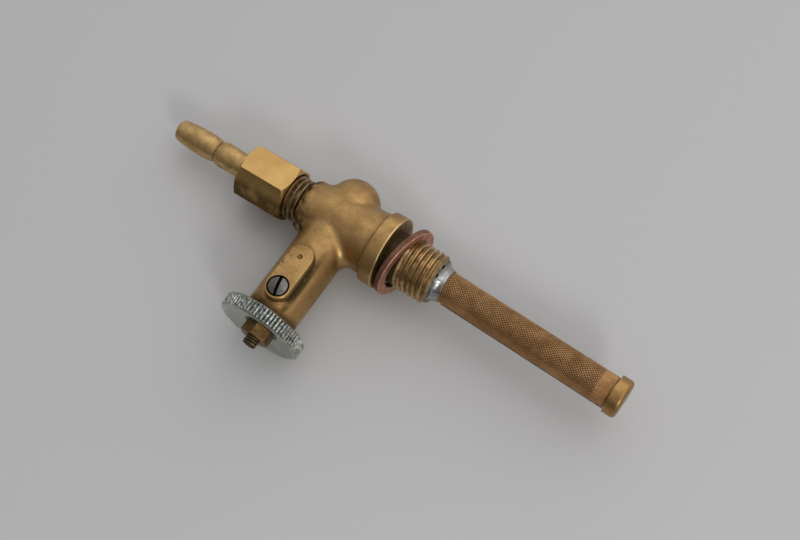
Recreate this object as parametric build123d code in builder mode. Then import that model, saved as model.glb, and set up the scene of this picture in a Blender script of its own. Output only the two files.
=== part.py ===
from build123d import *

import os
from math import cos, radians, sin, tan

# Push-pull fuel tap with a gauze filter. Millimetres, +Z up.
# The origin is the centre of the flange face that seals against the tank.
# +Z runs up the filter into the tank, +X is the way the knob is pulled,
# and -Y is the side with the guide screw.

# Tank connection
TANK_THREAD_R = 7.0  # M14
TANK_THREAD_START = 5.9  # first full thread above the seat
TANK_THREAD_END = 13.8
TANK_THREAD_CHAMFER = 1.1
TANK_NECK_R = 6.6  # plain neck between the seat and the thread
INLET_BORE_R = 3.2
FLANGE_R = 9.95
FLANGE_THICKNESS = 4.3
FLANGE_EDGE = 0.4  # broken edge of the seat
FLANGE_SHOULDER = 0.6  # rounded back of the flange

# Body casting
NECK_R = 8.8
BARREL_DROP = 16.15  # barrel axis below the seat
BARREL_R = 6.9
BARREL_REACH = 31.2  # open end of the barrel, from the inlet axis
DOME_REACH = 13.1  # round closed end, from the inlet axis
BARREL_EDGE = 0.5
BARREL_BORE_R = 5.0
CHAMBER_REACH = 7.4  # full bore beyond the inlet axis
DRILL_POINT = 59.0  # half angle of the drilled bottom
KNOB_SIDE_BLEND = 2.7  # cast fillets where the barrel leaves the column
DOME_SIDE_BLEND = 2.8

# Outlet
OUTLET_BOSS_R = 7.2
OUTLET_BOSS_STAND = 3.25  # how far the boss stands below the barrel
OUTLET_BOSS_ROUND = 0.9
OUTLET_THREAD_R = 6.0  # M12
OUTLET_THREAD_LENGTH = 12.2
OUTLET_THREAD_CHAMFER = 0.7
OUTLET_BORE_R = 2.5
CONE_SEAT_R = 4.5  # mouth of the 45 degree cone seat

# Pad for the guide screw
PAD_HEIGHT = 8.8  # pad face from the barrel axis
PAD_HALF_WIDTH = 3.45
PAD_EDGE = 0.45
PAD_ROOT_BLEND = 0.6
SCREW_SET_BACK = 6.1  # from the open end of the barrel
PAD_LENGTH = 9.2  # from the screw to the dimple
DIMPLE_R = 0.75
DIMPLE_DEPTH = 0.45

# Guide screw
SCREW_HEAD_R = 2.45
SCREW_HEAD_SINK = 1.7  # depth of the recess for the head
SCREW_HEAD_CROWN = 0.5  # height of the domed top over the pad face
SCREW_SHANK_R = 1.5
SCREW_TIP_R = 1.1
SCREW_TIP_REACH = 1.3  # how far the tip stands into the barrel's bore
SCREW_SLOT_WIDTH = 0.8
SCREW_SLOT_DEPTH = 1.1
SCREW_SLOT_TURN = 14.0
HEAD_GAP = 0.35  # open ring around the head

# Sealing washer, loose on the neck and tipped to one side
WASHER_R = 10.05
WASHER_HOLE_R = 7.25
WASHER_THICKNESS = 1.7
WASHER_EDGE = 0.35
WASHER_CENTRE_Z = 3.5
WASHER_TILT = 11.5
WASHER_SAG = 0.5  # it hangs on the guide-screw side of the neck

# Filter
FILTER_LEAN = 2.1  # it was soldered a little crooked, towards the knob
GAUZE_R = 4.25
GAUZE_WALL = 0.4
GAUZE_DEPTH = 2.8  # length held in the inlet
GAUZE_REACH = 50.6  # from the end of the tank thread to the cap
GAUZE_ROWS = 15
GAUZE_CUTS = 4  # straight cuts through each row, each leaves two gaps
GAUZE_BAR = 1.0  # width of the wall left between rows
GAUZE_GAP_WIDTH = 2.1
SEAM_WIDTH = 1.1
SEAM_LIFT = 0.2
SEAM_ANGLE = 22.5
CAP_R = 5.1
CAP_HEIGHT = 3.3
CAP_ROUND = 1.0
CAP_PLUG_LENGTH = 3.8
CAP_PLUG_WALL = 0.6
SOLDER_HEIGHT = 2.6
SOLDER_LIP = 0.25  # thickness of its feathered top

# Union nut and hose tail
NUT_ACROSS_FLATS = 14.0
NUT_STAND_OFF = 4.4  # bare thread left between the boss and the nut
NUT_LENGTH = 14.4
NUT_FACE_R = 6.9  # flat ring left on the turned ends
NUT_END_ANGLE = 35.0
NUT_WALL = 3.3  # end wall behind the hose tail's collar
NUT_MOUTH = 0.5  # countersink of its thread
NUT_TURN = -7.7
TAIL_BORE_R = 1.6
TAIL_COLLAR_R = 5.5
TAIL_NECK_R = 2.95
TAIL_NECK_LENGTH = 1.0  # straight stretch outside the nut
TAIL_BULGE_R = 3.5
TAIL_WAIST_R = 2.88
TAIL_TIP_R = 2.95
TAIL_TIP_ROUND = 0.8
TAIL_LAND = 1.0  # short straight crest of each bulge
TAIL_FIRST_CREST = 7.9  # distances from the nut's outer end
TAIL_WAIST = 10.1
TAIL_SECOND_CREST = 15.2
TAIL_LENGTH = 23.2

# Plunger
TRAVEL = 10.0
ROD_R = 2.0  # M4
ROD_HEAD_R = 3.4
ROD_HEAD_THICKNESS = 1.2
ROD_END_CHAMFER = 0.4
CORK_LENGTH = 10.0
CORK_WASHER_R = 4.6
CORK_WASHER_THICKNESS = 0.7
SLOT_FLOOR_GAP = 0.3  # free depth under the guide screw's tip
SLOT_SIDE_GAP = 0.15

# Knob
KNOB_R = 11.45
KNOB_THICKNESS = 3.85
KNOB_GAP = 0.35  # knob to barrel when pushed home
KNOB_EDGE = 0.4
KNOB_RIM = 1.0  # flat rim around the dish
KNOB_DISH = 1.3
KNOB_HUB_R = 4.6  # flat floor of the dish
KNURL_TEETH = 72
KNURL_DEPTH = 0.35
KNURL_WIDTH = 0.55
ROD_NUT_ACROSS_FLATS = 7.0
ROD_NUT_THICKNESS = 3.3
ROD_NUT_FACE_R = 3.4
ROD_NUT_END_ANGLE = 30.0
ROD_NUT_TURN = 2.3
ROD_OVERHANG = 2.0  # rod beyond its nut

CUT_LENGTH = 20.0  # straight cuts reach past both sides of the screw's head and the gauze

# Clearances
RUN_GAP = 0.05  # sliding and turning fits, on the radius
THREAD_GAP = 0.05
SOLDERED_GAP = 0.15  # gauze in the inlet
PLUG_GAP = 0.05  # cap's plug in the gauze, and gauze in its solder
CONE_GAP = 0.1

# Places worked out from the sizes above
barrel_z = -BARREL_DROP
barrel_axis = Axis((0, 0, barrel_z), (1, 0, 0))
dome_centre = BARREL_R - DOME_REACH
drill_tip = -(CHAMBER_REACH + BARREL_BORE_R / tan(radians(DRILL_POINT)))
boss_end = -(BARREL_DROP + BARREL_R + OUTLET_BOSS_STAND)
outlet_end = boss_end - OUTLET_THREAD_LENGTH
nut_mouth = boss_end - NUT_STAND_OFF
nut_end = nut_mouth - NUT_LENGTH
nut_shoulder = nut_end + NUT_WALL
rod_hole_r = ROD_R + RUN_GAP
plunger_r = BARREL_BORE_R - RUN_GAP
cork_start = -CORK_LENGTH / 2
cork_end = CORK_LENGTH / 2
sleeve_start = cork_end + CORK_WASHER_THICKNESS
rod_head_seat = cork_start - CORK_WASHER_THICKNESS
knob_back = BARREL_REACH + KNOB_GAP
knob_front = knob_back + KNOB_THICKNESS
dish_floor = knob_front - KNOB_DISH
rod_nut_face = dish_floor + ROD_NUT_THICKNESS
rod_end = rod_nut_face + ROD_OVERHANG
screw_x = BARREL_REACH - SCREW_SET_BACK
dimple_x = screw_x - PAD_LENGTH
pad_face_y = -PAD_HEIGHT
head_seat_y = pad_face_y + SCREW_HEAD_SINK
tip_y = SCREW_TIP_REACH - BARREL_BORE_R
gauze_bore_r = GAUZE_R - GAUZE_WALL
solder_r = TANK_THREAD_R - TANK_THREAD_CHAMFER


def leaning_plane(y, z, angle):
    """Plane that faces up on the inlet axis and leans towards +X."""
    turn = radians(angle)
    return Plane(origin=(0, y, z), x_dir=(cos(turn), 0, -sin(turn)), z_dir=(sin(turn), 0, cos(turn)))


def across_barrel(x):
    """Plane across the barrel, facing the knob."""
    return Plane(origin=(x, 0, barrel_z), x_dir=(0, 1, 0), z_dir=(1, 0, 0))


def plunger_disc(start, outer_r, thickness):
    """Round disc on the plunger rod, from start towards the knob."""
    with BuildPart() as disc:
        with BuildSketch(across_barrel(start)):
            Circle(outer_r)
            Circle(rod_hole_r, mode=Mode.SUBTRACT)
        extrude(amount=thickness)
    return disc


def corner_radius(across_flats):
    """Distance from a hexagon's centre to its corners."""
    return across_flats / 2 / cos(radians(30))


# Body casting: a column from tank thread to outlet thread, with the barrel cast across it
with BuildPart() as body_casting:
    with BuildSketch(Plane.XZ):
        with BuildLine():
            seat = Polyline(
                (0, TANK_THREAD_END),
                (solder_r, TANK_THREAD_END),
                (TANK_THREAD_R, TANK_THREAD_END - TANK_THREAD_CHAMFER),
                (TANK_THREAD_R, TANK_THREAD_START),
                (TANK_NECK_R, TANK_THREAD_START),
                (TANK_NECK_R, 0),
                (FLANGE_R - FLANGE_EDGE, 0),
                (FLANGE_R, -FLANGE_EDGE),
                (FLANGE_R, FLANGE_SHOULDER - FLANGE_THICKNESS),
            )
            shoulder = TangentArc(
                seat @ 1, (FLANGE_R - FLANGE_SHOULDER, -FLANGE_THICKNESS), tangent=(0, -1)
            )
            column = Polyline(
                shoulder @ 1,
                (NECK_R, -FLANGE_THICKNESS),
                (OUTLET_BOSS_R, boss_end + OUTLET_BOSS_ROUND),
            )
            boss = TangentArc(
                column @ 1,
                (OUTLET_BOSS_R - OUTLET_BOSS_ROUND, boss_end),
                tangent=column % 1,
            )
            Polyline(
                boss @ 1,
                (OUTLET_THREAD_R, boss_end),
                (OUTLET_THREAD_R, outlet_end + OUTLET_THREAD_CHAMFER),
                (OUTLET_THREAD_R - OUTLET_THREAD_CHAMFER, outlet_end),
                (0, outlet_end),
                seat @ 0,
            )
        make_face()
    revolve(axis=Axis.Z)
    with BuildSketch(Plane.XZ):
        with BuildLine():
            dome = CenterArc((dome_centre, barrel_z), BARREL_R, 180, -90)
            Polyline(
                dome @ 1,
                (BARREL_REACH - BARREL_EDGE, barrel_z + BARREL_R),
                (BARREL_REACH, barrel_z + BARREL_R - BARREL_EDGE),
                (BARREL_REACH, barrel_z),
                dome @ 0,
            )
        make_face()
    revolve(axis=barrel_axis)
    crossing = body_casting.edges(Select.NEW)
    fillet(crossing.filter_by(lambda edge: edge.center().X > 0), KNOB_SIDE_BLEND)
    fillet(crossing.filter_by(lambda edge: edge.center().X < 0), DOME_SIDE_BLEND)
    # cast pad with a dimple
    with BuildSketch(Plane.XZ.offset(PAD_HEIGHT)):
        with Locations(((dimple_x + screw_x) / 2, barrel_z)):
            SlotCenterToCenter(PAD_LENGTH, 2 * PAD_HALF_WIDTH)
    extrude(amount=-PAD_HEIGHT)
    fillet(body_casting.edges(Select.NEW), PAD_ROOT_BLEND)
    fillet(body_casting.faces().sort_by(Axis.Y)[0].edges(), PAD_EDGE)
    with Locations((dimple_x, pad_face_y + DIMPLE_DEPTH - DIMPLE_R, barrel_z)):
        Sphere(DIMPLE_R, mode=Mode.SUBTRACT)
    # barrel bore with a drilled bottom
    with BuildSketch(Plane.XZ):
        with BuildLine():
            Polyline(
                (drill_tip, barrel_z),
                (-CHAMBER_REACH, barrel_z + BARREL_BORE_R),
                (BARREL_REACH, barrel_z + BARREL_BORE_R),
                (BARREL_REACH, barrel_z),
                close=True,
            )
        make_face()
    revolve(axis=barrel_axis, mode=Mode.SUBTRACT)
    # screw hole, from the pad face into the bore
    with BuildSketch(Plane.XZ.offset(PAD_HEIGHT)):
        with Locations((screw_x, barrel_z)):
            Circle(SCREW_HEAD_R + HEAD_GAP)
    extrude(amount=-SCREW_HEAD_SINK, mode=Mode.SUBTRACT)
    with BuildSketch(Plane.XZ.offset(PAD_HEIGHT)):
        with Locations((screw_x, barrel_z)):
            Circle(SCREW_SHANK_R + THREAD_GAP)
    extrude(amount=-PAD_HEIGHT, mode=Mode.SUBTRACT)
    # inlet passage, wider where it holds the gauze
    with BuildSketch(Plane.XY.offset(TANK_THREAD_END)):
        Circle(INLET_BORE_R)
    extrude(amount=-(TANK_THREAD_END + BARREL_DROP), mode=Mode.SUBTRACT)
    with BuildSketch(Plane.XY.offset(TANK_THREAD_END)):
        Circle(GAUZE_R + SOLDERED_GAP)
    extrude(amount=-(GAUZE_DEPTH + SOLDERED_GAP), mode=Mode.SUBTRACT)
    # outlet passage with a cone seat for the hose tail
    with BuildSketch(Plane.XZ):
        with BuildLine():
            Polyline(
                (0, barrel_z),
                (OUTLET_BORE_R, barrel_z),
                (OUTLET_BORE_R, outlet_end + CONE_SEAT_R - OUTLET_BORE_R),
                (CONE_SEAT_R, outlet_end),
                (0, outlet_end),
                close=True,
            )
        make_face()
    revolve(axis=Axis.Z, mode=Mode.SUBTRACT)

# Guide screw: domed slotted head, shank and a plain tip that runs in the sleeve's slot
crown_y = pad_face_y - SCREW_HEAD_CROWN
with BuildPart() as guide_screw:
    with BuildSketch(Plane.XY.offset(barrel_z)):
        with BuildLine():
            crown = TangentArc(
                (screw_x, crown_y), (screw_x + SCREW_HEAD_R, pad_face_y), tangent=(1, 0)
            )
            Polyline(
                crown @ 1,
                (screw_x + SCREW_HEAD_R, head_seat_y),
                (screw_x + SCREW_SHANK_R, head_seat_y),
                (screw_x + SCREW_SHANK_R, -BARREL_BORE_R),
                (screw_x + SCREW_TIP_R, -BARREL_BORE_R),
                (screw_x + SCREW_TIP_R, tip_y),
                (screw_x, tip_y),
                crown @ 0,
            )
        make_face()
    revolve(axis=Axis((screw_x, 0, barrel_z), (0, 1, 0)))
    with BuildSketch(Plane.XZ.offset(-crown_y)):
        with Locations((screw_x, barrel_z)):
            Rectangle(CUT_LENGTH, SCREW_SLOT_WIDTH, rotation=SCREW_SLOT_TURN)
    extrude(amount=-SCREW_SLOT_DEPTH, mode=Mode.SUBTRACT)

# Sealing washer, tipped as it hangs on the neck
with BuildPart() as sealing_washer:
    with BuildSketch(leaning_plane(WASHER_SAG, WASHER_CENTRE_Z, WASHER_TILT)):
        Circle(WASHER_R)
        Circle(WASHER_HOLE_R, mode=Mode.SUBTRACT)
    extrude(amount=WASHER_THICKNESS / 2, both=True)
    fillet(sealing_washer.edges().filter_by(GeomType.CIRCLE), WASHER_EDGE)

# Filter gauze: a rolled tube with a lap seam, its weave drawn as rows of gaps
across_filter = leaning_plane(0, TANK_THREAD_END, FILTER_LEAN)
filter_axis = Axis(across_filter.origin, across_filter.z_dir)
along_filter = Plane(across_filter.origin, x_dir=across_filter.x_dir, z_dir=(0, -1, 0))
row_pitch = (GAUZE_REACH - SOLDER_HEIGHT - CAP_PLUG_LENGTH - GAUZE_BAR) / GAUZE_ROWS
with BuildPart() as filter_gauze:
    with BuildSketch(across_filter.offset(-GAUZE_DEPTH)):
        Circle(GAUZE_R)
    extrude(amount=GAUZE_DEPTH + GAUZE_REACH)
    with BuildSketch(across_filter.offset(SOLDER_HEIGHT + GAUZE_BAR)):
        with PolarLocations(GAUZE_R, 1, start_angle=SEAM_ANGLE):
            Rectangle(2 * SEAM_LIFT, SEAM_WIDTH)
    extrude(amount=GAUZE_REACH - SOLDER_HEIGHT - GAUZE_BAR)
    with BuildSketch(across_filter.offset(-GAUZE_DEPTH)):
        Circle(gauze_bore_r)
    extrude(amount=GAUZE_DEPTH + GAUZE_REACH, mode=Mode.SUBTRACT)
    for row in range(GAUZE_ROWS):
        with BuildSketch(across_filter.offset(SOLDER_HEIGHT + GAUZE_BAR + row * row_pitch)):
            for cut in range(GAUZE_CUTS):
                Rectangle(CUT_LENGTH, GAUZE_GAP_WIDTH, rotation=180 * cut / GAUZE_CUTS)
        extrude(amount=row_pitch - GAUZE_BAR, mode=Mode.SUBTRACT)

# Filter cap: a turned lid with a hollow plug inside the gauze
with BuildPart() as filter_cap:
    with BuildSketch(along_filter):
        with BuildLine():
            lid = Polyline(
                (0, GAUZE_REACH + CAP_HEIGHT - CAP_PLUG_WALL),
                (0, GAUZE_REACH + CAP_HEIGHT),
                (CAP_R - CAP_ROUND, GAUZE_REACH + CAP_HEIGHT),
            )
            edge = TangentArc(
                lid @ 1, (CAP_R, GAUZE_REACH + CAP_HEIGHT - CAP_ROUND), tangent=(1, 0)
            )
            Polyline(
                edge @ 1,
                (CAP_R, GAUZE_REACH),
                (gauze_bore_r - PLUG_GAP, GAUZE_REACH),
                (gauze_bore_r - PLUG_GAP, GAUZE_REACH - CAP_PLUG_LENGTH),
                (gauze_bore_r - PLUG_GAP - CAP_PLUG_WALL, GAUZE_REACH - CAP_PLUG_LENGTH),
                (gauze_bore_r - PLUG_GAP - CAP_PLUG_WALL, GAUZE_REACH + CAP_HEIGHT - CAP_PLUG_WALL),
                lid @ 0,
            )
        make_face()
    revolve(axis=filter_axis)

# Solder fillet between the end of the inlet and the gauze
with BuildPart() as filter_solder:
    with BuildSketch(Plane.XZ):
        with BuildLine():
            solder_top = (GAUZE_R + SOLDER_LIP, TANK_THREAD_END + SOLDER_HEIGHT)
            flare = TangentArc(solder_top, (solder_r, TANK_THREAD_END), tangent=(0, -1))
            Polyline(
                flare @ 1,
                (0, TANK_THREAD_END),
                (0, TANK_THREAD_END + SOLDER_HEIGHT),
                flare @ 0,
            )
        make_face()
    revolve(axis=Axis.Z)
    with BuildSketch(across_filter):
        Circle(GAUZE_R + PLUG_GAP)
    extrude(amount=GAUZE_REACH, both=True, mode=Mode.SUBTRACT)

# Union nut: a hexagon with turned ends, threaded over the outlet and closed behind the hose tail
nut_corner_r = corner_radius(NUT_ACROSS_FLATS)
nut_run_out = (nut_corner_r - NUT_FACE_R) * tan(radians(NUT_END_ANGLE))
with BuildPart() as union_nut:
    with BuildSketch(Plane.XY.offset(nut_end)):
        RegularPolygon(NUT_ACROSS_FLATS / 2, 6, major_radius=False, rotation=NUT_TURN)
    extrude(amount=NUT_LENGTH)
    with BuildSketch(Plane.XZ):
        with BuildLine():
            Polyline(
                (0, nut_end),
                (NUT_FACE_R, nut_end),
                (nut_corner_r, nut_end + nut_run_out),
                (nut_corner_r, nut_mouth - nut_run_out),
                (NUT_FACE_R, nut_mouth),
                (0, nut_mouth),
                close=True,
            )
        make_face()
    revolve(axis=Axis.Z, mode=Mode.INTERSECT)
    with BuildSketch(Plane.XZ):
        with BuildLine():
            Polyline(
                (0, nut_end),
                (TAIL_NECK_R + THREAD_GAP, nut_end),
                (TAIL_NECK_R + THREAD_GAP, nut_shoulder),
                (OUTLET_THREAD_R + THREAD_GAP, nut_shoulder),
                (OUTLET_THREAD_R + THREAD_GAP, nut_mouth - NUT_MOUTH),
                (OUTLET_THREAD_R + THREAD_GAP + NUT_MOUTH, nut_mouth),
                (0, nut_mouth),
                close=True,
            )
        make_face()
    revolve(axis=Axis.Z, mode=Mode.SUBTRACT)

# Hose tail: cone nose and collar inside the nut, two rounded bulges for the hose
nose_z = outlet_end + CONE_SEAT_R - CONE_GAP - OUTLET_BORE_R
collar_z = outlet_end + CONE_SEAT_R - CONE_GAP - TAIL_COLLAR_R
waist_z = nut_end - TAIL_WAIST
first_crest_z = nut_end - TAIL_FIRST_CREST
second_crest_z = nut_end - TAIL_SECOND_CREST
tip_z = nut_end - TAIL_LENGTH
with BuildPart() as hose_tail:
    with BuildSketch(Plane.XZ):
        with BuildLine():
            inside = Polyline(
                (TAIL_BORE_R, nose_z),
                (OUTLET_BORE_R, nose_z),
                (TAIL_COLLAR_R, collar_z),
                (TAIL_COLLAR_R, nut_shoulder),
                (TAIL_NECK_R, nut_shoulder),
                (TAIL_NECK_R, nut_end - TAIL_NECK_LENGTH),
            )
            first_land = Line(
                (TAIL_BULGE_R, first_crest_z + TAIL_LAND / 2),
                (TAIL_BULGE_R, first_crest_z - TAIL_LAND / 2),
            )
            second_land = Line(
                (TAIL_BULGE_R, second_crest_z + TAIL_LAND / 2),
                (TAIL_BULGE_R, second_crest_z - TAIL_LAND / 2),
            )
            TangentArc(first_land @ 0, inside @ 1, tangent=(0, 1))
            TangentArc(first_land @ 1, (TAIL_WAIST_R, waist_z), tangent=(0, -1))
            TangentArc(second_land @ 0, (TAIL_WAIST_R, waist_z), tangent=(0, 1))
            taper = TangentArc(
                second_land @ 1, (TAIL_TIP_R, tip_z + TAIL_TIP_ROUND), tangent=(0, -1)
            )
            tip = TangentArc(taper @ 1, (TAIL_TIP_R - TAIL_TIP_ROUND, tip_z), tangent=(0, -1))
            Polyline(tip @ 1, (TAIL_BORE_R, tip_z), inside @ 0)
        make_face()
    revolve(axis=Axis.Z)

# Plunger: cork between two washers, held on the rod against the sleeve
cork_inner_washer = plunger_disc(rod_head_seat, CORK_WASHER_R, CORK_WASHER_THICKNESS)
cork_seal = plunger_disc(cork_start, plunger_r, CORK_LENGTH)
cork_outer_washer = plunger_disc(cork_end, CORK_WASHER_R, CORK_WASHER_THICKNESS)

# Plunger sleeve: the guide screw's tip runs in its slot, so it slides and can't turn
slot_width = 2 * (SCREW_TIP_R + SLOT_SIDE_GAP)
with BuildPart() as plunger_sleeve:
    with BuildSketch(across_barrel(sleeve_start)):
        Circle(plunger_r)
        Circle(rod_hole_r, mode=Mode.SUBTRACT)
    extrude(amount=knob_back - sleeve_start)
    with BuildSketch(Plane.XZ.offset(BARREL_BORE_R)):
        with Locations((screw_x - TRAVEL / 2, barrel_z)):
            SlotCenterToCenter(TRAVEL, slot_width)
    extrude(amount=-(SCREW_TIP_REACH + SLOT_FLOOR_GAP), mode=Mode.SUBTRACT)

# Plunger rod: headed at the cork, threaded at the knob
with BuildPart() as plunger_rod:
    with BuildSketch(across_barrel(rod_head_seat - ROD_HEAD_THICKNESS)):
        Circle(ROD_HEAD_R)
    extrude(amount=ROD_HEAD_THICKNESS)
    with BuildSketch(across_barrel(rod_head_seat)):
        Circle(ROD_R)
    extrude(amount=rod_end - rod_head_seat)
    chamfer(plunger_rod.faces().sort_by(Axis.X)[-1].edges(), ROD_END_CHAMFER)

# Pull knob: a disc with a knurled rim and a dished face
with BuildPart() as pull_knob:
    with BuildSketch(Plane.XZ):
        with BuildLine():
            back = Polyline(
                (dish_floor, barrel_z + KNOB_HUB_R),
                (dish_floor, barrel_z + ROD_R + THREAD_GAP),
                (knob_back, barrel_z + ROD_R + THREAD_GAP),
                (knob_back, barrel_z + KNOB_R - KNOB_EDGE),
                (knob_back + KNOB_EDGE, barrel_z + KNOB_R),
                (knob_front - KNOB_EDGE, barrel_z + KNOB_R),
                (knob_front, barrel_z + KNOB_R - KNOB_EDGE),
                (knob_front, barrel_z + KNOB_R - KNOB_EDGE - KNOB_RIM),
            )
            TangentArc(back @ 0, back @ 1, tangent=(0, 1))
        make_face()
    revolve(axis=barrel_axis)
    with BuildSketch(across_barrel(knob_back)):
        with PolarLocations(KNOB_R, KNURL_TEETH):
            Polygon(
                (-KNURL_DEPTH, 0), (KNURL_DEPTH, -KNURL_WIDTH), (KNURL_DEPTH, KNURL_WIDTH), align=None
            )
    extrude(amount=KNOB_THICKNESS, mode=Mode.SUBTRACT)

# Nut that locks the knob on the rod
rod_nut_corner_r = corner_radius(ROD_NUT_ACROSS_FLATS)
rod_nut_run_out = (rod_nut_corner_r - ROD_NUT_FACE_R) * tan(radians(ROD_NUT_END_ANGLE))
with BuildPart() as rod_nut:
    with BuildSketch(across_barrel(dish_floor)):
        RegularPolygon(ROD_NUT_ACROSS_FLATS / 2, 6, major_radius=False, rotation=ROD_NUT_TURN)
        Circle(ROD_R + THREAD_GAP, mode=Mode.SUBTRACT)
    extrude(amount=ROD_NUT_THICKNESS)
    with BuildSketch(Plane.XZ):
        with BuildLine():
            Polyline(
                (dish_floor, barrel_z),
                (dish_floor, barrel_z + rod_nut_corner_r),
                (rod_nut_face - rod_nut_run_out, barrel_z + rod_nut_corner_r),
                (rod_nut_face, barrel_z + ROD_NUT_FACE_R),
                (rod_nut_face, barrel_z),
                close=True,
            )
        make_face()
    revolve(axis=barrel_axis, mode=Mode.INTERSECT)

# One file for each piece
pieces = {
    "body_casting": body_casting,
    "guide_screw": guide_screw,
    "sealing_washer": sealing_washer,
    "filter_gauze": filter_gauze,
    "filter_cap": filter_cap,
    "filter_solder": filter_solder,
    "union_nut": union_nut,
    "hose_tail": hose_tail,
    "plunger_sleeve": plunger_sleeve,
    "cork_seal": cork_seal,
    "cork_inner_washer": cork_inner_washer,
    "cork_outer_washer": cork_outer_washer,
    "plunger_rod": plunger_rod,
    "pull_knob": pull_knob,
    "rod_nut": rod_nut,
}
os.makedirs("parts", exist_ok=True)
for name, piece in pieces.items():
    piece.part.label = name
    export_step(piece.part, f"parts/{name}.step")
    print(name, round(piece.part.volume, 1), "mm3")
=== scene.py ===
# %% [markdown]
# # A brass push-pull fuel tap
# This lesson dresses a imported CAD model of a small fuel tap. The CAD nodes already have
# the right sizes and places, so Blender adds what solids leave out: the threads,
# the woven gauze, the lumpy solder and the finishes of old metal.

# %% Load the frame
import math

import bmesh
import bpy
from mathutils import Matrix, Vector, noise


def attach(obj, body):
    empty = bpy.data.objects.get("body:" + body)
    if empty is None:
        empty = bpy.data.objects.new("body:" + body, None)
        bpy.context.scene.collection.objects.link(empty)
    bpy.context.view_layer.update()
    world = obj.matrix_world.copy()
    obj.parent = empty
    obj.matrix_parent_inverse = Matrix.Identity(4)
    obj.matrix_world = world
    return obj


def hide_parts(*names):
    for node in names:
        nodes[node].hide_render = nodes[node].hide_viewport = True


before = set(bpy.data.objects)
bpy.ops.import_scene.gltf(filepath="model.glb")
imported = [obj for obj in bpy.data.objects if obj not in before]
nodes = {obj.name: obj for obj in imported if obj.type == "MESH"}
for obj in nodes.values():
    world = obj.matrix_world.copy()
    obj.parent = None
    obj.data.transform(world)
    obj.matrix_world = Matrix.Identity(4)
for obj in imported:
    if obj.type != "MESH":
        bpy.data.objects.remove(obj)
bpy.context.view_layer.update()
MM = 0.001  # Blender counts in metres, and the sizes below are in millimetres
print("CAD nodes:", len(nodes))

# %% [markdown]
# ## Small helpers
# Colours are written as sRGB hex values, the way a paint program shows them, and
# Blender's shaders want linear light, so one function converts them. Another function
# adds a node to a material with its settings and links in one line. Operators act on
# everything selected, so a third one selects just one object first. What the CAD nodes
# can tell about sizes and places is measured on them and not typed in again.

# %% Helpers
SRGB_TOE, SRGB_SLOPE, SRGB_LIFT, SRGB_GAMMA = 0.04045, 12.92, 0.055, 2.4  # as the sRGB standard has them


def linear(hex_colour):
    """sRGB hex colour as linear RGBA."""
    rgba = []
    for start in (1, 3, 5):
        part = int(hex_colour[start:start + 2], 16) / 255
        if part <= SRGB_TOE:
            rgba.append(part / SRGB_SLOPE)
        else:
            rgba.append(((part + SRGB_LIFT) / (1 + SRGB_LIFT)) ** SRGB_GAMMA)
    return rgba + [1.0]


def add(tree, kind, links=None, inputs=None, **settings):
    """New node with its settings, its constant inputs and the sockets linked into it."""
    node = tree.nodes.new(kind)
    for key, value in settings.items():
        setattr(node, key, value)
    for key, value in (inputs or {}).items():
        node.inputs[key].default_value = value
    for key, socket in (links or {}).items():
        tree.links.new(socket, node.inputs[key])
    return node


def only(obj):
    """Select this object and nothing else."""
    bpy.ops.object.select_all(action="DESELECT")
    obj.select_set(True)
    bpy.context.view_layer.objects.active = obj


def box_mm(node_name):
    """Lowest and highest corner of a CAD node in millimetres."""
    points = [vertex.co for vertex in nodes[node_name].data.vertices]
    low = [round(min(point[axis] for point in points) / MM, 3) for axis in range(3)]
    high = [round(max(point[axis] for point in points) / MM, 3) for axis in range(3)]
    return low, high


def middle_mm(node_name):
    """Middle of a CAD node's box in millimetres."""
    return [round((low + high) / 2, 3) for low, high in zip(*box_mm(node_name))]


def in_metres(point_mm):
    """A point in millimetres as Blender wants it."""
    return [part * MM for part in point_mm]


def per_mm(size):
    """Texture scale whose features are about this many millimetres across."""
    return 1 / (size * MM)


print("middle grey in linear light:", round(linear("#808080")[0], 3))
print("middle of the knob:", middle_mm("pull_knob"))

# %% [markdown]
# ## Where dirt and painted shade lie
# Old dirt stays in grooves, gaps and corners, and hands rub it off the rest. Shade falls in
# the same grooves, gaps and corners, and many masks here paint it into the colour along with
# the dirt. A mask is a number from 0 to 1 over the surface. Most masks here are distances
# from a point, a line or a plane in the tap's own frame, because the sizes are known, and noise
# breaks them into patches. The corners of the casting follow no simple line, so ambient
# occlusion finds them, and what it darkens there is painted shade as well as dirt.

# %% Masks for dirt
# How much each axis counts in a distance: with a 0, the point grows to a line or a plane.
FROM_POINT, FROM_X_LINE, FROM_Z_LINE = (1, 1, 1), (0, 1, 1), (1, 1, 0)
ALONG_X, ALONG_Y, ALONG_Z = (1, 0, 0), (0, 1, 0), (0, 0, 1)
ORIGIN = (0, 0, 0)  # of the frame: the middle of the flange's seat, in line with inlet and outlet
PATCH_DETAIL, SKY_SAMPLES = 6.0, 8
# Ambient occlusion paints shade as well as dirt: it starts at the first level and is full at the second.
OPEN_SKY, SHUT_SKY = 0.92, 0.58  # ambient occlusion where dirt starts, and where it is full


def near(tree, place, point_mm, counts, none_mm, full_mm, most=1.0):
    """Mask near a point: full at one distance from it and faded out at another."""
    moved = add(
        tree, "ShaderNodeVectorMath", {0: place}, {1: in_metres(point_mm)}, operation="SUBTRACT",
    ).outputs["Vector"]
    counted = add(
        tree, "ShaderNodeVectorMath", {0: moved}, {1: counts}, operation="MULTIPLY",
    ).outputs["Vector"]
    distance = add(tree, "ShaderNodeVectorMath", {0: counted}, operation="LENGTH").outputs["Value"]
    return add(
        tree, "ShaderNodeMapRange", {"Value": distance},
        {"From Min": none_mm * MM, "From Max": full_mm * MM, "To Max": most},
        interpolation_type="SMOOTHSTEP",
    ).outputs["Result"]


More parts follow.
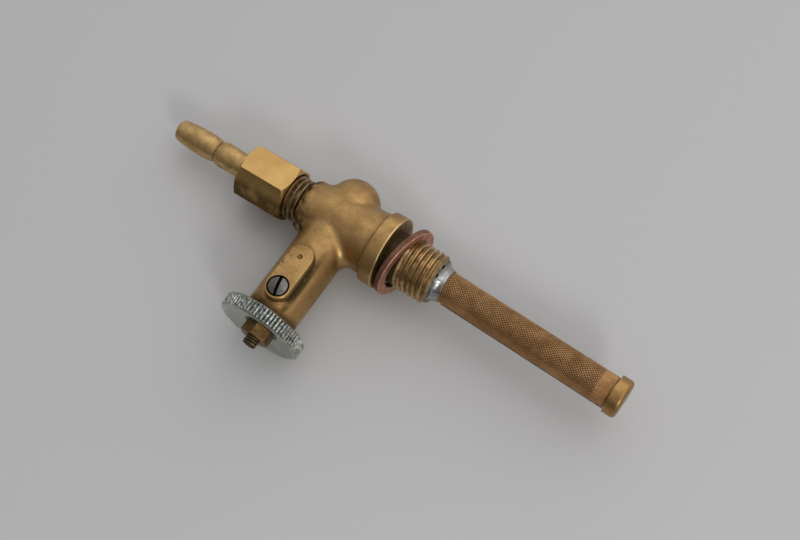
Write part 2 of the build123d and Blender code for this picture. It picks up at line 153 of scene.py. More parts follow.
def patchy(tree, place, mask, patch_mm, bare, covered):
    """The mask broken into patches of about this size; bare and covered are levels of the noise."""
    cloud = add(
        tree, "ShaderNodeTexNoise", {"Vector": place}, {"Scale": per_mm(patch_mm), "Detail": PATCH_DETAIL},
    ).outputs["Fac"]
    cover = add(
        tree, "ShaderNodeMapRange", {"Value": cloud}, {"From Min": bare, "From Max": covered},
    ).outputs["Result"]
    return add(tree, "ShaderNodeMath", {0: mask, 1: cover}, operation="MULTIPLY").outputs["Value"]


def heaviest(tree, masks):
    """The strongest of several masks at each spot."""
    result = masks[0]
    for mask in masks[1:]:
        result = add(tree, "ShaderNodeMath", {0: result, 1: mask}, operation="MAXIMUM").outputs["Value"]
    return result


def corners(tree, reach_mm, most):
    """Painted shade and dirt where a piece's own walls shut out the open sky."""
    sky = add(
        tree, "ShaderNodeAmbientOcclusion", None, {"Distance": reach_mm * MM},
        samples=SKY_SAMPLES, only_local=True,
    ).outputs["AO"]
    return add(
        tree, "ShaderNodeMapRange", {"Value": sky},
        {"From Min": OPEN_SKY, "From Max": SHUT_SKY, "To Max": most},
    ).outputs["Result"]


def levelled(tree, place, point_mm, tip):
    """Coordinates of its own for a piece that is tipped about Y, with the point as their origin."""
    return add(
        tree, "ShaderNodeMapping", {"Vector": place},
        {"Location": in_metres(point_mm), "Rotation": (0, math.radians(tip), 0)},
        vector_type="TEXTURE",
    ).outputs["Vector"]


print("masks are made by near, patchy, heaviest and corners")

# %% [markdown]
# ## One build for all old metal
# Every metal here has the same build: a base colour that drifts between a clean and a
# tarnished tone, a roughness that follows it, and a fine bump. A sand casting gets deep
# grains and dark pits, a turned part gets shallow ones. Tool marks and plating are finer than
# the picture can show, so their grain is drawn as coarse as it needs to show. Dirt, with the
# shade that is painted along with it, goes over both colour and roughness, because it is dull
# as well as dark, and so do worn edges with the highlight that is painted on them.

# %% Coats and pits
FACTOR = 0  # a Mix node's socket for how much of B is mixed in
COLOUR_A, COLOUR_B, COLOUR_OUT = 6, 7, 2  # its sockets when it mixes colours
FLOAT_A, FLOAT_B, FLOAT_OUT = 2, 3, 0  # and when it mixes numbers
# The dark coat is dirt together with painted shade; the bright one is worn metal together with a painted
# highlight.
DIRT_AND_SHADE_COLOUR, DIRT_AND_SHADE_ROUGHNESS = "#1D1812", 0.75
WORN_AND_HIGHLIGHT_COLOUR, WORN_AND_HIGHLIGHT_ROUGHNESS = "#E2C48E", 0.25
PIT_RIM, PIT_FLOOR, FEW_PITS, MANY_PITS = 0.43, 0.3, 0.3, 0.55  # levels of the noise for pits


def coated(tree, cover, colour, gloss, coat_colour, coat_roughness):
    """Colour and roughness with a coat laid over them as far as the mask covers."""
    colour = add(
        tree, "ShaderNodeMix", {FACTOR: cover, COLOUR_A: colour}, {COLOUR_B: linear(coat_colour)},
        data_type="RGBA",
    ).outputs[COLOUR_OUT]
    gloss = add(
        tree, "ShaderNodeMix", {FACTOR: cover, FLOAT_A: gloss}, {FLOAT_B: coat_roughness},
        data_type="FLOAT",
    ).outputs[FLOAT_OUT]
    return colour, gloss


def pitted(tree, place, grain, patch_mm, most):
    """Dirt in the deepest grains, more in some patches than in others."""
    holes = add(
        tree, "ShaderNodeMapRange", {"Value": grain},
        {"From Min": PIT_RIM, "From Max": PIT_FLOOR, "To Max": most},
    ).outputs["Result"]
    return patchy(tree, place, holes, patch_mm, FEW_PITS, MANY_PITS)


# The dark colour printed here is dirt and painted shade, and the bright one is worn edges with a painted
# highlight.
print("dirt is", DIRT_AND_SHADE_COLOUR, "and worn edges are", WORN_AND_HIGHLIGHT_COLOUR)

# %% Metal maker
CLOUD_DETAIL, CLOUD_ROUGHNESS, GRAIN_DETAIL = 5.0, 0.6, 3.0
ALL_TARNISHED, ALL_CLEAN = 0.3, 0.62  # levels of the noise that drifts the colour


def aged(
    name, clean, tarnished, patch_mm, roughness, grain_mm, grain_depth,
    pits=0.0, grime_and_shade=None, wear_and_highlight=None, metallic=1.0,
):
    """Material with drifting tarnish, a grain, and where asked pits, dirt with painted shade, and worn edges
    with a painted highlight.
    """
    material = bpy.data.materials.new(name)
    material.use_nodes = True
    tree = material.node_tree
    shader = tree.nodes["Principled BSDF"]
    shader.inputs["Metallic"].default_value = metallic
    place = add(tree, "ShaderNodeTexCoord").outputs["Object"]
    cloud = add(
        tree, "ShaderNodeTexNoise", {"Vector": place},
        {"Scale": per_mm(patch_mm), "Detail": CLOUD_DETAIL, "Roughness": CLOUD_ROUGHNESS},
    ).outputs["Fac"]
    drift = add(
        tree, "ShaderNodeMapRange", {"Value": cloud}, {"From Min": ALL_TARNISHED, "From Max": ALL_CLEAN},
    ).outputs["Result"]
    colour = add(
        tree, "ShaderNodeMix", {FACTOR: drift}, {COLOUR_A: linear(tarnished), COLOUR_B: linear(clean)},
        data_type="RGBA",
    ).outputs[COLOUR_OUT]
    clean_roughness, tarnished_roughness = roughness
    gloss = add(
        tree, "ShaderNodeMapRange", {"Value": drift},
        {"To Min": tarnished_roughness, "To Max": clean_roughness},
    ).outputs["Result"]
    grain = add(
        tree, "ShaderNodeTexNoise", {"Vector": place}, {"Scale": per_mm(grain_mm), "Detail": GRAIN_DETAIL},
    ).outputs["Fac"]
    # Pits, dirt and painted shade are gathered here and darken the colour together.
    dirt = []
    if pits:
        dirt.append(pitted(tree, place, grain, patch_mm, pits))
    if grime_and_shade:
        dirt.append(grime_and_shade(tree, place))
    if dirt:
        colour, gloss = coated(tree, heaviest(tree, dirt), colour, gloss, DIRT_AND_SHADE_COLOUR, DIRT_AND_SHADE_ROUGHNESS)
    # Worn edges are lightened here, with a painted highlight on them.
    if wear_and_highlight:
        colour, gloss = coated(tree, wear_and_highlight(tree, place), colour, gloss, WORN_AND_HIGHLIGHT_COLOUR, WORN_AND_HIGHLIGHT_ROUGHNESS)
    bump = add(
        tree, "ShaderNodeBump", {"Height": grain}, {"Strength": 1.0, "Distance": grain_depth * MM},
    ).outputs["Normal"]
    tree.links.new(colour, shader.inputs["Base Color"])
    tree.links.new(gloss, shader.inputs["Roughness"])
    tree.links.new(bump, shader.inputs["Normal"])
    print("finish:", name)
    return material


# %% [markdown]
# ## Sand-cast brass
# The body was cast in sand. The grains of the mould show as a rough skin with small pits, and
# a brown film dulls it. Round the screw, on the seat, along the pad's root and in the
# casting's corners the colour holds painted shade as well as dirt. Where the outlet meets the
# barrel there are stains and painted shade, and by the knob's end there are stains. The
# flange's edge is worn bright and carries a painted highlight. You could paint all this on a
# texture, but masks at known places need no unwrapping and stay sharp however near the
# camera goes.

# %% Sand-cast brass
KNOB_MIDDLE = middle_mm("pull_knob")
BODY_LOW, BODY_HIGH = box_mm("body_casting")
BARREL_Z, PAD_Y, OUTLET_FACE = KNOB_MIDDLE[2], -8.8, -26.3
SCREW_TOP, ROUND_SCREW = (middle_mm("guide_screw")[0], PAD_Y, BARREL_Z), (1, 0.3, 1)
SEAT_R, FLAT_IN_Z, FLANGE_R, FLANGE_EDGE_Z = 9.4, (1, 1, 3), 9.95, -0.25
OUTLET_CROOK, BARREL_MOUTH, WIDE_IN_YZ = (7.5, -2.0, -25.0), (BODY_HIGH[0], -5.0, -18.5), (1, 0.5, 0.5)
PAD_FOOT, PAD_EDGE, LONG_IN_X = (22.0, -6.4, -11.9), (18.0, PAD_Y, -19.6), (0.12, 1, 1)


def body_dirt_and_shade(tree, place):
    """Painted shade and dirt round the screw, on the seat, along the pad's root and in the folds; stains by
    the knob; stains and painted shade by the outlet; specks.
    """
    # Painted shade and dirt in the gap round the screw's head.
    screw_ring = near(tree, place, SCREW_TOP, ROUND_SCREW, none_mm=2.95, full_mm=2.8)
    # Painted shade and dirt on the seat under the washer.
    seat = near(tree, place, ORIGIN, FLAT_IN_Z, none_mm=SEAT_R, full_mm=SEAT_R - 1.0, most=0.4)
    # Stains and painted shade in the crook of the outlet and where it meets the union nut.
    crook = near(tree, place, OUTLET_CROOK, FROM_POINT, none_mm=8.0, full_mm=1.0)
    boss = near(tree, place, (0, 0, OUTLET_FACE), ALONG_Z, none_mm=2.8, full_mm=0.2)
    # Painted shade and dirt along the pad's root.
    pad_foot = near(tree, place, PAD_FOOT, LONG_IN_X, none_mm=1.9, full_mm=0.8, most=0.85)
    rim = near(tree, place, BARREL_MOUTH, ALONG_X, none_mm=3.6, full_mm=0.4, most=0.8)
    mouth = near(tree, place, BARREL_MOUTH, WIDE_IN_YZ, none_mm=4.5, full_mm=0.6)
    pad_edge = near(tree, place, PAD_EDGE, LONG_IN_X, none_mm=2.4, full_mm=0.2, most=0.75)
    # Painted shade and dirt in the casting's corners.
    folds = corners(tree, reach_mm=2.0, most=0.85)
    by_outlet = heaviest(tree, [crook, boss])
    by_knob = heaviest(tree, [pad_foot, rim, mouth])
    return heaviest(tree, [
        screw_ring,
        patchy(tree, place, seat, patch_mm=3.0, bare=0.2, covered=0.5),
        patchy(tree, place, by_outlet, patch_mm=1.4, bare=0.34, covered=0.6),
        patchy(tree, place, by_knob, patch_mm=2.0, bare=0.12, covered=0.5),
        patchy(tree, place, pad_edge, patch_mm=0.5, bare=0.5, covered=0.64),
        patchy(tree, place, folds, patch_mm=1.0, bare=0.25, covered=0.55),
    ])


def flange_wear_and_highlight(tree, place):
    """The flange's edge by the seat, rubbed bright and given a painted highlight."""
    edge = near(tree, place, (0, 0, FLANGE_EDGE_Z), ALONG_Z, none_mm=0.4, full_mm=0.15, most=0.85)
    inside = near(
        tree, place, ORIGIN, FROM_Z_LINE, none_mm=FLANGE_R - 0.02, full_mm=FLANGE_R - 0.25,
    )
    return add(
        tree, "ShaderNodeMath", {0: edge, 1: inside}, operation="SUBTRACT", use_clamp=True,
    ).outputs["Value"]


# Sand-cast brass: grainy and half dull, with dirt and painted shade in its hollows and a painted highlight on
# the worn flange edge.
sand_cast_brass = aged(
    "sand_cast_brass", "#B8945F", "#98764C", patch_mm=4.0, roughness=(0.34, 0.5),
    grain_mm=0.4, grain_depth=0.035, pits=0.4, grime_and_shade=body_dirt_and_shade, wear_and_highlight=flange_wear_and_highlight,
)

# %% [markdown]
# ## Die-cut brass
# Both threads of the body were cut with a die. Their crests are rubbed bright, and dirt and
# painted shade fill the grooves between them; the plain neck under the washer gets painted
# shade and dirt as well. A groove lies nearer to the thread's axis than a crest, so the
# distance from that axis is all that the mask has to know.

# %% Die-cut brass
TANK_R, OUTLET_R = 7.0, 6.0
UNDER_WASHER = (0, 0, 1.8)


def tank_thread_dirt_and_shade(tree, place):
    """Painted shade and dirt on the plain neck under the washer and between the teeth."""
    # Painted shade and dirt under the washer.
    neck = near(tree, place, UNDER_WASHER, ALONG_Z, none_mm=2.9, full_mm=2.2, most=0.88)
    # Dirt and painted shade in the grooves.
    grooves = near(
        tree, place, ORIGIN, FROM_Z_LINE, none_mm=TANK_R - 0.15, full_mm=TANK_R - 0.6, most=0.6,
    )
    return heaviest(tree, [neck, patchy(tree, place, grooves, patch_mm=1.5, bare=0.2, covered=0.6)])


def outlet_thread_dirt_and_shade(tree, place):
    """Dirt and painted shade between the teeth of the outlet."""
    # Dirt and painted shade in the grooves.
    grooves = near(
        tree, place, ORIGIN, FROM_Z_LINE, none_mm=OUTLET_R - 0.1, full_mm=OUTLET_R - 0.6, most=0.8,
    )
    return patchy(tree, place, grooves, patch_mm=1.5, bare=0.2, covered=0.55)


# Die-cut brass: bright on the worn crests of the tank thread, with dirt and painted shade between them.
die_cut_brass = aged(
    "die_cut_brass", "#DAB882", "#AC8A5E", patch_mm=2.0, roughness=(0.18, 0.3),
    grain_mm=0.3, grain_depth=0.008, pits=0.35, grime_and_shade=tank_thread_dirt_and_shade,
)
# Stained die-cut brass: the same at the outlet, with more dirt and painted shade.
stained_die_cut_brass = aged(
    "stained_die_cut_brass", "#BFA173", "#8E7450", patch_mm=2.0, roughness=(0.24, 0.38),
    grain_mm=0.3, grain_depth=0.015, pits=0.35, grime_and_shade=outlet_thread_dirt_and_shade,
)

# %% [markdown]
# ## Turned and milled brass
# Cap, tail, sleeve and nut were cut from bar, so they are smoother than the casting and
# differ mostly in how much they were handled since. The nut is bright from spanners, with
# stains and painted shade on one side. The cap and the tail went dull, and the tail is darker
# in its crease and behind the nut.

# %% Turned and milled brass
NUT_STAINED_SIDE = (10.0, 0, 0)
NUT_END_Z, TAIL_WAIST_Z = box_mm("union_nut")[0][2], -55.2


def nut_stains_and_shade(tree, place):
    """Old black stains and painted shade on the side of the nut that faces the knob."""
    # Stains and painted shade on the side that faces the knob.
    side = near(tree, place, NUT_STAINED_SIDE, ALONG_X, none_mm=7.0, full_mm=3.5, most=0.8)
    return patchy(tree, place, side, patch_mm=2.6, bare=0.18, covered=0.55)


def tail_darkening(tree, place):
    """Darker in the crease between the bulges and behind the nut."""
    crease = near(tree, place, (0, 0, TAIL_WAIST_Z), ALONG_Z, none_mm=0.6, full_mm=0.05, most=0.7)
    behind_nut = near(tree, place, (0, 0, NUT_END_Z - 0.5), ALONG_Z, none_mm=1.2, full_mm=0.4)
    return patchy(
        tree, place, heaviest(tree, [crease, behind_nut]), patch_mm=1.2, bare=0.2, covered=0.6,
    )


# Turned brass: the sleeve and the cork's washers, smooth, with a thin uneven film.
turned_brass = aged(
    "turned_brass", "#C69F5E", "#B58F52", patch_mm=8.0, roughness=(0.26, 0.34),
    grain_mm=0.35, grain_depth=0.004,
)
# Milled brass: the union nut, rubbed bright by spanners, with old stains and painted shade on one side.
milled_brass = aged(
    "milled_brass", "#DBB271", "#C0985A", patch_mm=8.0, roughness=(0.22, 0.32),
    grain_mm=0.35, grain_depth=0.004, grime_and_shade=nut_stains_and_shade,
)
# Satin brass: the cap, turned and then left to dull in fuel.
satin_brass = aged(
    "satin_brass", "#AC8754", "#937145", patch_mm=3.0, roughness=(0.36, 0.46),
    grain_mm=0.35, grain_depth=0.01, pits=0.2,
)
# Tarnished brass: the tail, turned like the cap, pale on its bulges and brown in patches.
tarnished_brass = aged(
    "tarnished_brass", "#CDAC74", "#A58355", patch_mm=2.5, roughness=(0.38, 0.5),
    grain_mm=0.4, grain_depth=0.015, pits=0.4, grime_and_shade=tail_darkening,
)

# %% [markdown]
# ## Copper and solder
# The washer was annealed, which leaves copper soft, pink and matte. It lies tipped on the
# thread, so its dirt and painted shade are measured in coordinates that are turned back
# level. The solder is silver where it ran smooth, and burnt flux is left where it meets the
# thread.

# %% Copper and solder
WASHER_MIDDLE, WASHER_TIP, WASHER_BACK = middle_mm("sealing_washer"), 11.5, (0, 0, -1.0)
THREAD_TOP = BODY_HIGH[2]


def washer_dirt_and_shade(tree, place):
    """Painted shade and dirt on all but the upper face of the tipped washer, and close round its hole."""
    level = levelled(tree, place, WASHER_MIDDLE, WASHER_TIP)
    # Painted shade and dirt under the washer and round its hole.
    under = near(tree, level, WASHER_BACK, ALONG_Z, none_mm=1.75, full_mm=1.5, most=0.65)
    hole = near(tree, level, ORIGIN, FROM_Z_LINE, none_mm=7.9, full_mm=7.4, most=0.9)
    return patchy(tree, place, heaviest(tree, [under, hole]), patch_mm=1.5, bare=0.1, covered=0.42)


def solder_grime(tree, place):
    """Burnt flux where the solder meets the thread."""
    border = near(tree, place, (0, 0, THREAD_TOP), ALONG_Z, none_mm=0.9, full_mm=0.2)
    return patchy(tree, place, border, patch_mm=0.8, bare=0.42, covered=0.56)


# Annealed copper: pink, matte and mottled with brown.
annealed_copper = aged(
    "annealed_copper", "#DAA78C", "#AE785E", patch_mm=1.6, roughness=(0.45, 0.58),
    grain_mm=0.4, grain_depth=0.02, pits=0.4, grime_and_shade=washer_dirt_and_shade,
)
# Soft solder: silver and shiny where it ran, grey where it stiffened, with specks of flux.
soft_solder = aged(
    "soft_solder", "#B8B9B7", "#82807C", patch_mm=1.6, roughness=(0.2, 0.34),
    grain_mm=0.6, grain_depth=0.02, pits=0.6, grime_and_shade=solder_grime,
)

# %% [markdown]
# ## Zinc plate
# The knob is steel with a thin coat of zinc, bluish white and satin. Fingers leave dirt in
# the knurl, where nothing rubs it off, and painted shade goes into its grooves with the dirt.
# The ring round the nut is a painted shadow. The mask for the grooves is a thin
# ring: what is inside the crests but outside the bottom of the grooves.

# %% Zinc plate
NUT_FOOT = (34.0, 0, BARREL_Z)


def knurl_dirt_and_shade(tree, place):
    """Dirt and painted shade in the grooves of the rim, a thin film of dirt over it, and a painted shadow in
    a ring round the nut.
    """
    # Dirt and painted shade in the grooves of the knurl.
    inside_crests = near(tree, place, KNOB_MIDDLE, FROM_X_LINE, none_mm=11.38, full_mm=11.18)
    inside_grooves = near(tree, place, KNOB_MIDDLE, FROM_X_LINE, none_mm=11.0, full_mm=10.9)
    ring = add(
        tree, "ShaderNodeMath", {0: inside_crests, 1: inside_grooves}, operation="SUBTRACT",
    ).outputs["Value"]
    rim = near(tree, place, KNOB_MIDDLE, ALONG_X, none_mm=1.85, full_mm=1.6)
    grooves = add(tree, "ShaderNodeMath", {0: ring, 1: rim}, operation="MULTIPLY").outputs["Value"]
    wide_rim = near(tree, place, KNOB_MIDDLE, ALONG_X, none_mm=2.1, full_mm=1.5, most=0.75)
    film = add(
        tree, "ShaderNodeMath", {0: wide_rim, 1: inside_grooves}, operation="SUBTRACT",
    ).outputs["Value"]
    # Painted shadow of the nut on the knob's face.
    round_nut = near(tree, place, NUT_FOOT, FROM_POINT, none_mm=5.2, full_mm=4.3, most=0.8)
    return heaviest(tree, [
        patchy(tree, place, grooves, patch_mm=1.2, bare=0.3, covered=0.52),
        patchy(tree, place, film, patch_mm=0.7, bare=0.41, covered=0.62),
        patchy(tree, place, round_nut, patch_mm=1.5, bare=0.2, covered=0.55),
    ])


# Zinc plate: bluish white and satin, with dirt and painted shade in its knurl and a painted shadow round the
# nut.
zinc_plate = aged(
    "zinc_plate", "#C2C7C0", "#A3A392", patch_mm=5.0, roughness=(0.3, 0.4),
    grain_mm=0.4, grain_depth=0.012, pits=0.25, grime_and_shade=knurl_dirt_and_shade,
)

# %% [markdown]
# ## Steel, browned brass and cork
# The guide screw is bare steel, worn bright on top, with dirt and painted shade in its slot.
# Age has put a brown skin on the rod and its lock nut. The cork is hidden while the tap is
# together. It uses the same build as the metals, with nothing metallic about it.

# %% Steel, browned brass and cork
INSIDE_SCREW, ROD_AXIS = (0, -6.7, 0), (0, 0, BARREL_Z)


def screw_dirt_and_shade(tree, place):
    """Painted shade and dirt in the slot and under the head: all that lies deeper than the domed top."""
    # Painted shade and dirt below the domed top.
    return near(tree, place, INSIDE_SCREW, ALONG_Y, none_mm=2.14, full_mm=2.0)


def rod_dirt_and_shade(tree, place):
    """Dirt and painted shade between the fine teeth of the rod."""
    # Dirt and painted shade in the grooves.
    return near(tree, place, ROD_AXIS, FROM_X_LINE, none_mm=1.95, full_mm=1.75, most=0.85)


# Dark steel: an old screw, worn bright on top, with dirt and painted shade in its slot.
dark_steel = aged(
    "dark_steel", "#7A7673", "#524F4C", patch_mm=2.0, roughness=(0.24, 0.36),
    grain_mm=0.3, grain_depth=0.012, pits=0.3, grime_and_shade=screw_dirt_and_shade,
)
# Browned steel: the rod with a dull brown skin of age. On the gauze's seam the same dark finish is painted
# shade along the lap.
browned_steel_and_seam_shade = aged(
    "browned_steel_and_seam_shade", "#8C6E4A", "#4E3B28", patch_mm=1.2, roughness=(0.4, 0.55),
    grain_mm=0.3, grain_depth=0.03, pits=0.5,
)
# Rolled steel thread: the same skin, rubbed through to pale metal on the crests.
rolled_steel_thread = aged(
    "rolled_steel_thread", "#B89E7C", "#80664A", patch_mm=1.2, roughness=(0.35, 0.5),
    grain_mm=0.3, grain_depth=0.03, pits=0.4, grime_and_shade=rod_dirt_and_shade,
)
# Browned brass: the lock nut, dull gold in some patches and brown in others.
browned_brass = aged(
    "browned_brass", "#907248", "#5E452B", patch_mm=2.0, roughness=(0.36, 0.5),
    grain_mm=0.3, grain_depth=0.02, pits=0.5,
)
# Cork: warm brown and matte, not a metal, with small dark pores.
cork = aged(
    "cork", "#A57C52", "#8A6340", patch_mm=1.5, roughness=(0.75, 0.9),
    grain_mm=0.6, grain_depth=0.08, pits=0.6, metallic=0.0,
)

# %% [markdown]
# ## Finishes on the CAD nodes
# Most pieces already have their final shape, so they only need the right finish in
# their material slot. Pieces that are replaced further down get theirs there.

# %% Assign finishes
finishes = {
    "sealing_washer": annealed_copper,
    "filter_cap": satin_brass,
    "hose_tail": tarnished_brass,
    "plunger_sleeve": turned_brass,
    "cork_seal": cork,
    "cork_inner_washer": turned_brass,
    "cork_outer_washer": turned_brass,
    "pull_knob": zinc_plate,
}
for node_name, finish in finishes.items():
    materials = nodes[node_name].data.materials
    materials.clear()
    materials.append(finish)
print("dressed nodes:", len(finishes))

# %% [markdown]
# ## Copies of CAD nodes
# A CAD node is a mesh of loose triangles, which suits the CAD and stops most of Blender's
# tools. A piece that needs reshaping starts as a copy whose points are merged and whose
# flats are made single faces. Each new piece then gets its finish and the body that it moves
# with, and the CAD node that it replaces is hidden.

# %% Copies of CAD nodes
MERGE = 0.0005 * MM  # points nearer than this are one point
FLAT_ANGLE = math.radians(0.05)  # faces that turn less than this lie in one plane
AREA_WEIGHT = 100  # large faces count for the most in the shading


def merged_copy(node_name, name):
    """Copy of a CAD node with its loose triangles joined up and its flats made single faces."""
    obj = nodes[node_name].copy()
    obj.data = nodes[node_name].data.copy()
    obj.name = name
    obj.parent = None
    # The frame's marks belong to the CAD node, not to its copy.
    for key in list(obj.keys()):
        if key.startswith("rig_"):
            del obj[key]
    bpy.context.scene.collection.objects.link(obj)
    only(obj)
    bpy.ops.object.mode_set(mode="EDIT")
    bpy.ops.mesh.select_all(action="SELECT")
    bpy.ops.mesh.remove_doubles(threshold=MERGE)
    bpy.ops.mesh.dissolve_limited(angle_limit=FLAT_ANGLE)
    bpy.ops.object.mode_set(mode="OBJECT")
    return obj


def even_shading(obj, sharp_angle):
    """Smooth shading in which large flat faces keep their own direction."""
    only(obj)
    bpy.ops.object.shade_smooth_by_angle(angle=sharp_angle)
    weighted = obj.modifiers.new("weighted", "WEIGHTED_NORMAL")
    weighted.mode = "FACE_AREA_WITH_ANGLE"
    weighted.weight = AREA_WEIGHT
    weighted.keep_sharp = True
    bpy.ops.object.modifier_apply(modifier=weighted.name)


def dress(obj, finish, body, replaced=None):
    """Give a piece its finish and its body, and hide the CAD node that it replaces, if any."""
    obj.data.materials.clear()
    obj.data.materials.append(finish)
    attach(obj, body)
    if replaced:
        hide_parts(replaced)
    print(obj.name, "faces:", len(obj.data.polygons))


# %% [markdown]
# ## The cast body
# The CAD body has plain cylinders where the threads are. A copy of it loses those two outer
# walls, and real threads take their place further down. The walls are found by where their
# faces lie: past the flange or the outlet boss, and farther out than the bores.

# %% Cast body
FLANGE_FACE, PAST_FACE = 0.0, 0.05
INLET_INSIDE_R, OUTLET_INSIDE_R = 6.0, 5.0
CAST_SHARP = math.radians(32)

cast_body = merged_copy("body_casting", "cast_body")
bpy.ops.object.mode_set(mode="EDIT")
walls = bmesh.from_edit_mesh(cast_body.data)
for face in walls.faces:
    centre = face.calc_center_median() / MM
    radius = math.hypot(centre.x, centre.y)
    on_inlet = centre.z > FLANGE_FACE + PAST_FACE and radius > INLET_INSIDE_R
    on_outlet = centre.z < OUTLET_FACE - PAST_FACE and radius > OUTLET_INSIDE_R
    face.select_set(on_inlet or on_outlet)
bmesh.update_edit_mesh(cast_body.data)
bpy.ops.mesh.delete(type="FACE")
bpy.ops.object.mode_set(mode="OBJECT")
even_shading(cast_body, CAST_SHARP)
dress(cast_body, sand_cast_brass, "tap_body", replaced="body_casting")

# %% [markdown]
# ## A screw thread
# A thread is one tooth profile carried round an axis while it climbs. By hand you draw
# the profile as a chain of edges and give it the Screw modifier. The chain starts as a
# plane merged to one vertex, which is then extruded from point to point. Both ends are cut
# square, and crests that stand past a chamfer or on a plain neck are pressed down.

# %% Tooth
TOOTH_DEPTH, TOOTH_CREST = 0.5, 0.12  # shares of the pitch: worn a little shallower than new
FLANK_ANGLE = math.radians(30)


def edge_chain(name, points):
    """Chain of edges through (radius, height) points, in metres, in the XZ plane."""
    bpy.ops.object.select_all(action="DESELECT")
    bpy.ops.mesh.primitive_plane_add(size=MM, location=(0, 0, 0))
    chain = bpy.context.active_object
    chain.name = name
    bpy.ops.object.mode_set(mode="EDIT")
    bpy.ops.mesh.select_all(action="SELECT")
    bpy.ops.mesh.merge(type="CENTER")
    first = points[0]
    bpy.ops.transform.translate(value=(first[0], 0, first[1]))
    for last, point in zip(points, points[1:]):
        step = (point[0] - last[0], 0, point[1] - last[1])
        bpy.ops.mesh.extrude_region_move(TRANSFORM_OT_translate={"value": step})
    bpy.ops.object.mode_set(mode="OBJECT")
    return chain


def tooth(name, crest_r, pitch_mm, foot_mm):
    """One tooth as a chain of edges, from one root to the next."""
    depth = TOOTH_DEPTH * pitch_mm
    flank = depth * math.tan(FLANK_ANGLE)
    crest = TOOTH_CREST * pitch_mm
    root = pitch_mm - crest - 2 * flank
    root_r = crest_r - depth
    points = [
        (root_r, 0), (root_r, root), (crest_r, root + flank),
        (crest_r, root + flank + crest), (root_r, pitch_mm),
    ]
    return edge_chain(name, [(radius * MM, (foot_mm + height) * MM) for radius, height in points])


print("tooth depth:", TOOTH_DEPTH, "of the pitch")

# %% Thread maker
THREAD_STEPS, FINE_THREAD_STEPS = 56, 32  # faces in one turn
THREAD_SHARP = math.radians(35)


def cut_to_length(start_mm, end_mm):
    """Cut both ends of the mesh that is being edited square, and close them."""
    for height, clear_above in ((start_mm, False), (end_mm, True)):
        bpy.ops.mesh.select_all(action="SELECT")
        bpy.ops.mesh.bisect(
            plane_co=(0, 0, height * MM), plane_no=(0, 0, 1), use_fill=True,
            clear_outer=clear_above, clear_inner=not clear_above, threshold=MERGE,
        )


def thread(name, crest_r, pitch_mm, start_mm, end_mm, fitted, steps=THREAD_STEPS):
    """Thread along +Z; fitted(height_mm, radius_mm) is the radius that a point really gets."""
    below = start_mm - pitch_mm
    obj = tooth(name, crest_r, pitch_mm, below)
    climb = obj.modifiers.new("climb", "SCREW")
    climb.axis = "Z"
    climb.iterations = math.ceil((end_mm - below) / pitch_mm)
    climb.steps = steps
    climb.render_steps = steps
    climb.screw_offset = pitch_mm * MM
    only(obj)
    bpy.ops.object.modifier_apply(modifier=climb.name)
    bpy.ops.object.mode_set(mode="EDIT")
    bpy.ops.mesh.select_all(action="SELECT")
    bpy.ops.mesh.remove_doubles(threshold=MERGE)
    cut_to_length(start_mm, end_mm)
    bpy.ops.mesh.select_all(action="SELECT")
    bpy.ops.mesh.normals_make_consistent(inside=False)
    bpy.ops.object.mode_set(mode="OBJECT")
    for vertex in obj.data.vertices:
        radius = math.hypot(vertex.co.x, vertex.co.y)
        wanted = fitted(vertex.co.z / MM, radius / MM) * MM
        vertex.co.x *= wanted / radius
        vertex.co.y *= wanted / radius
    bpy.ops.object.shade_smooth_by_angle(angle=THREAD_SHARP)
    return obj


print("faces in one turn:", THREAD_STEPS, "or", FINE_THREAD_STEPS)

# %% [markdown]
# ## Threads of the body
# The tank end has M14 x 1.5 with a plain neck under it, where the washer lies. The outlet has
# M12 x 1.5, and the union nut hides most of it. Both threads start a little inside the
# casting, so that no gap shows where they meet it.

# %% Threads of the body
BODY_PITCH, PLAIN_NECK_R = 1.5, 6.6
TANK_START, NECK_TOP, TANK_CHAMFER = -1.0, 4.6, 12.7
OUTLET_START, OUTLET_CHAMFER, OUTLET_END, OUTLET_WEAR = -25.0, -37.8, BODY_LOW[2], 0.02


def tank_fitted(height, radius):
    """Plain neck under the tank thread, and a chamfer at its end."""
    if height < NECK_TOP:
        return PLAIN_NECK_R
    return min(radius, TANK_R - max(0.0, height - TANK_CHAMFER))


def outlet_fitted(height, radius):
    """Crests worn a little, and a chamfer at the end of the outlet thread."""
    return min(radius, OUTLET_R - OUTLET_WEAR - max(0.0, OUTLET_CHAMFER - height))


tank_thread = thread("tank_thread", TANK_R, BODY_PITCH, TANK_START, THREAD_TOP, tank_fitted)
outlet_thread = thread("outlet_thread", OUTLET_R, BODY_PITCH, OUTLET_END, OUTLET_START, outlet_fitted)
dress(tank_thread, die_cut_brass, "tap_body")
dress(outlet_thread, stained_die_cut_brass, "tap_body")

# %% [markdown]
# ## The plunger rod's end
# Two millimetres of the rod stand out of its nut, and they show an M4 thread. The CAD rod
# is cut short with bisect, as you would saw it, and a threaded end is put on. The thread
# is made along Z and then turned to lie along the barrel.

# %% Rod
ROD_CUT, ROD_END = 36.0, box_mm("plunger_rod")[1][0]
ROD_R, ROD_PITCH, ROD_CHAMFER = 2.0, 0.7, 0.4


def rod_fitted(height, radius):
    """Chamfer at the end of the rod."""
    return min(radius, ROD_R - max(0.0, height - ROD_END + ROD_CHAMFER))


